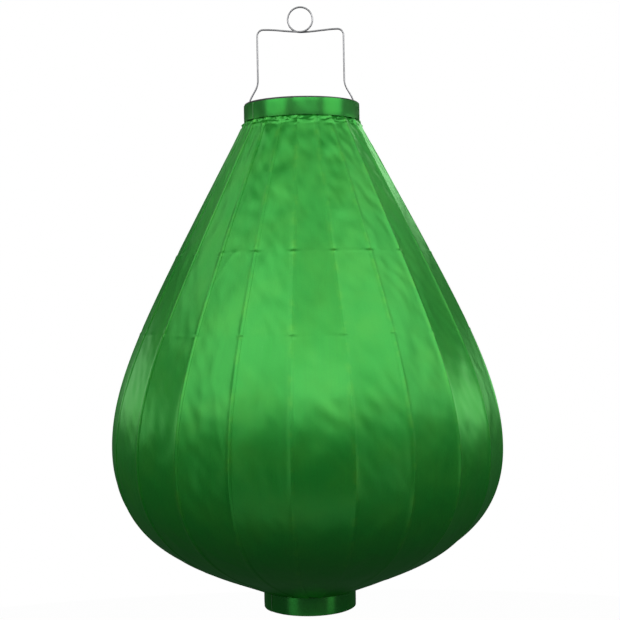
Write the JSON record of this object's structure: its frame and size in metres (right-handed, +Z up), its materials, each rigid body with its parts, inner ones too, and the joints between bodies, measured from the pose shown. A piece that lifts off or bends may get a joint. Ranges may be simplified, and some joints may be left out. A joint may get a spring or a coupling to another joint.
{
  "type": "solar lantern",
  "caption": "Drop-shaped green silk lantern on a bent wire hanger, with a lift-out solar lamp sitting in its top opening.",
  "frame": {"origin": "inside top of the hanger's wire loop, where a hook carries it", "axes": "+Z up along the lantern's axis; the hanger's wire lies in the XZ plane"},
  "size_m": [0.4488, 0.4488, 0.6953],
  "materials": {
    "green_satin": "tight satin weave, soft sheen",
    "green_ribbon": "glossy satin ribbon",
    "bright_wire": "drawn steel wire",
    "frame_wire": "drawn steel wire, dull",
    "hoop_black": "black enamel",
    "lamp_plastic": "fine-grained moulding",
    "solar_silicon": "dark blue cell under clear resin",
    "board_laminate": "green solder mask",
    "battery_steel": "plain metal can",
    "led_epoxy": "water-clear epoxy",
    "frosted_plastic": "frosted, lets light through",
    "button_rubber": "matt"
  },
  "bodies": {
    "hanger": {"hanger_wire": "bright_wire"},
    "lantern": {"top_hoop": "hoop_black", "top_ribbon": "green_ribbon", "bottom_hoop": "hoop_black", "bottom_ribbon": "green_ribbon", "rib_01": "frame_wire", "rib_02": "frame_wire", "rib_03": "frame_wire", "rib_04": "frame_wire", "rib_05": "frame_wire", "rib_06": "frame_wire", "rib_07": "frame_wire", "rib_08": "frame_wire", "rib_09": "frame_wire", "rib_10": "frame_wire", "rib_11": "frame_wire", "rib_12": "frame_wire", "rib_13": "frame_wire", "rib_14": "frame_wire", "rib_15": "frame_wire", "rib_16": "frame_wire", "rib_17": "frame_wire", "rib_18": "frame_wire", "rib_19": "frame_wire", "rib_20": "frame_wire", "rib_21": "frame_wire", "rib_22": "frame_wire", "upper_brace_hoop": "frame_wire", "middle_brace_hoop": "frame_wire", "silk_panel_01": "green_satin", "silk_panel_02": "green_satin", "silk_panel_03": "green_satin", "silk_panel_04": "green_satin", "silk_panel_05": "green_satin", "silk_panel_06": "green_satin", "silk_panel_07": "green_satin", "silk_panel_08": "green_satin", "silk_panel_09": "green_satin", "silk_panel_10": "green_satin", "silk_panel_11": "green_satin", "silk_panel_12": "green_satin", "silk_panel_13": "green_satin", "silk_panel_14": "green_satin", "silk_panel_15": "green_satin", "silk_panel_16": "green_satin", "silk_panel_17": "green_satin", "silk_panel_18": "green_satin", "silk_panel_19": "green_satin", "silk_panel_20": "green_satin", "silk_panel_21": "green_satin", "silk_panel_22": "green_satin", "lamp_cradle": "hoop_black"},
    "solar_lamp": {"lamp_case": "lamp_plastic", "solar_cell": "solar_silicon", "lamp_base": "lamp_plastic", "circuit_board": "board_laminate", "battery_cell": "battery_steel", "led": "led_epoxy", "light_diffuser": "frosted_plastic"},
    "switch": {"switch_button": "button_rubber"}
  },
  "joints": [
    {"name": "hanger_swing", "type": "hinge", "parent": "hanger", "child": "lantern", "pos_m": [0, 0, -0.1163], "axis": [1, 0, 0], "range_deg": [-75, 75]},
    {"name": "lamp_lift", "type": "slide", "parent": "lantern", "child": "solar_lamp", "axis": [0, 0, 1], "range_m": [0, 0.042]},
    {"name": "switch_press", "type": "slide", "parent": "solar_lamp", "child": "switch", "axis": [0, 0, 1], "range_m": [0, 0.0015], "stiffness_N_per_m": 200}
  ]
}
